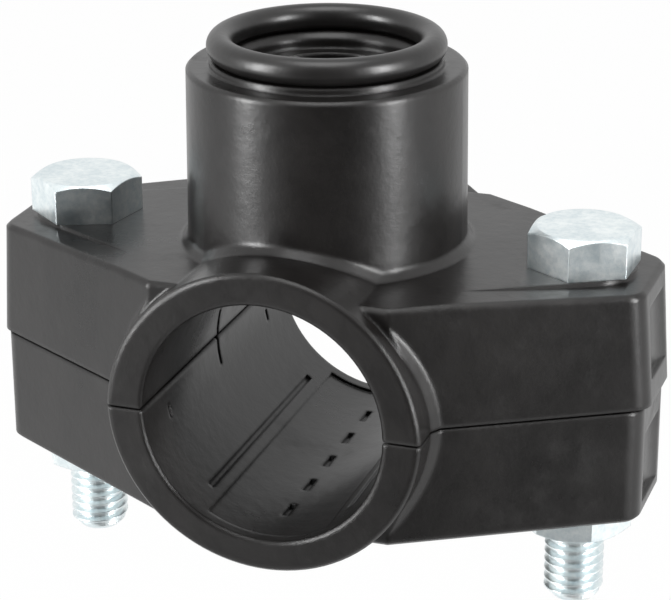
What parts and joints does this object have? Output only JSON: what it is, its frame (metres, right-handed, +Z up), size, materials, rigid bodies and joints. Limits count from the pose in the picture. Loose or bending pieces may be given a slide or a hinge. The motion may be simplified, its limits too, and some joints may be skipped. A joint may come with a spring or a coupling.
{
  "type": "tapping saddle",
  "caption": "Clamp saddle for a plastic water pipe: bolted black halves close round the pipe, and a branch outlet with a sealing ring on its face stands on the upper half.",
  "frame": {"origin": "where the axis of the pipe bore crosses the axis of the outlet, half-way along the bore", "axes": "+X across the two ears, +Y along the pipe, +Z up the outlet"},
  "size_m": [0.0902, 0.0528, 0.0749],
  "materials": {
    "black_plastic": "satin moulded black polypropylene",
    "ring_rubber": "smooth black nitrile rubber",
    "seal_rubber": "matt black rubber",
    "zinc_steel": "bright zinc-plated steel"
  },
  "bodies": {
    "upper": {"upper_half": "black_plastic", "outlet_ring": "ring_rubber", "pipe_seal": "seal_rubber"},
    "lower": {"lower_half": "black_plastic", "nut_left": "zinc_steel", "nut_right": "zinc_steel"},
    "bolt_left": {"bolt_left": "zinc_steel"},
    "bolt_right": {"bolt_right": "zinc_steel"}
  },
  "joints": [
    {"name": "bolt_right_turn", "type": "hinge", "parent": "upper", "child": "bolt_right", "pos_m": [0.0346, 0, 0], "axis": [0, 0, 1], "range_deg": [0, 2310]},
    {"name": "bolt_left_turn", "type": "hinge", "parent": "upper", "child": "bolt_left", "pos_m": [-0.0346, 0, 0], "axis": [0, 0, 1], "range_deg": [0, 2310]},
    {"name": "clamp_slide", "type": "slide", "parent": "upper", "child": "lower", "axis": [0, 0, -1], "range_m": [0, 0.008]}
  ],
  "couplings": [
    {"joint": "bolt_left_turn", "follows": "clamp_slide", "rad_per_m": 5026.5},
    {"joint": "bolt_right_turn", "follows": "clamp_slide", "rad_per_m": 5026.5}
  ]
}
